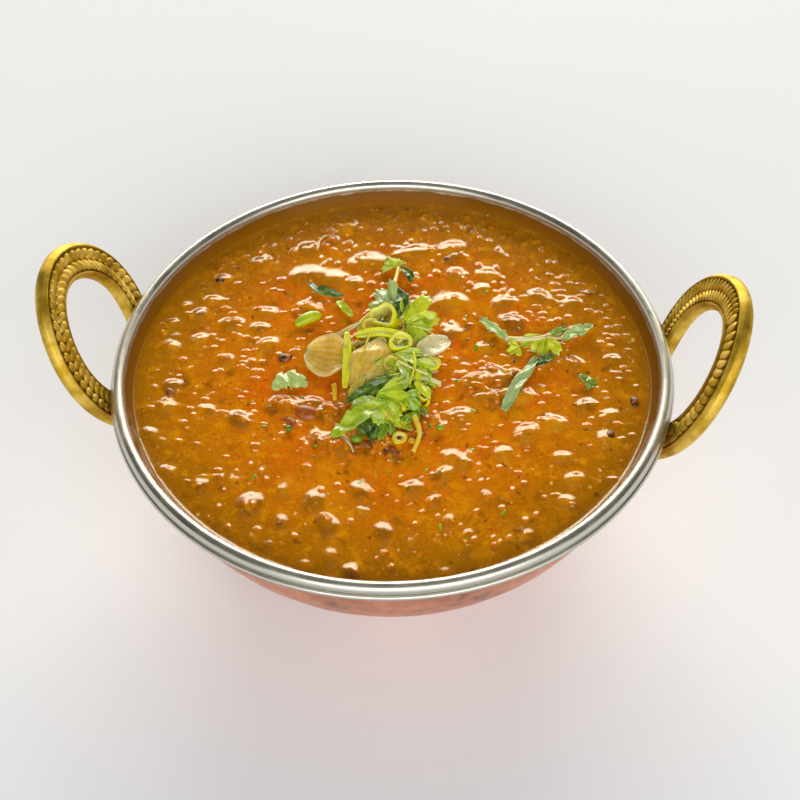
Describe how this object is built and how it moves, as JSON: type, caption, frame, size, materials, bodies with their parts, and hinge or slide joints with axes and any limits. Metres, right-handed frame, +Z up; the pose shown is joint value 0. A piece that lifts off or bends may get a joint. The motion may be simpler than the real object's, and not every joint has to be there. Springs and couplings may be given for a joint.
{
  "type": "dal makhani in a karahi",
  "caption": "Creamy black-lentil curry in a small two-handled serving karahi, topped with chopped coriander and onion.",
  "frame": {"origin": "middle of the foot's underside, on the table", "axes": "+Z up, X through both handles, the diner sits towards -Y"},
  "size_m": [0.1816, 0.15, 0.0825],
  "materials": {
    "copper": "satin copper, faintly hammered",
    "steel": "polished stainless steel",
    "brass": "cast, engraved, lightly aged",
    "dal": "wet glossy gravy",
    "herb": "fresh leaf"
  },
  "bodies": {
    "root": {"copper_shell": "copper", "steel_bowl": "steel", "dal": "dal", "handle_right": "brass", "handle_left": "brass", "garnish_heap": "herb", "coriander_sprig": "herb", "leaf_back": "herb", "leaf_left": "herb", "leaf_front": "herb", "leaf_right": "herb"}
  },
  "joints": []
}
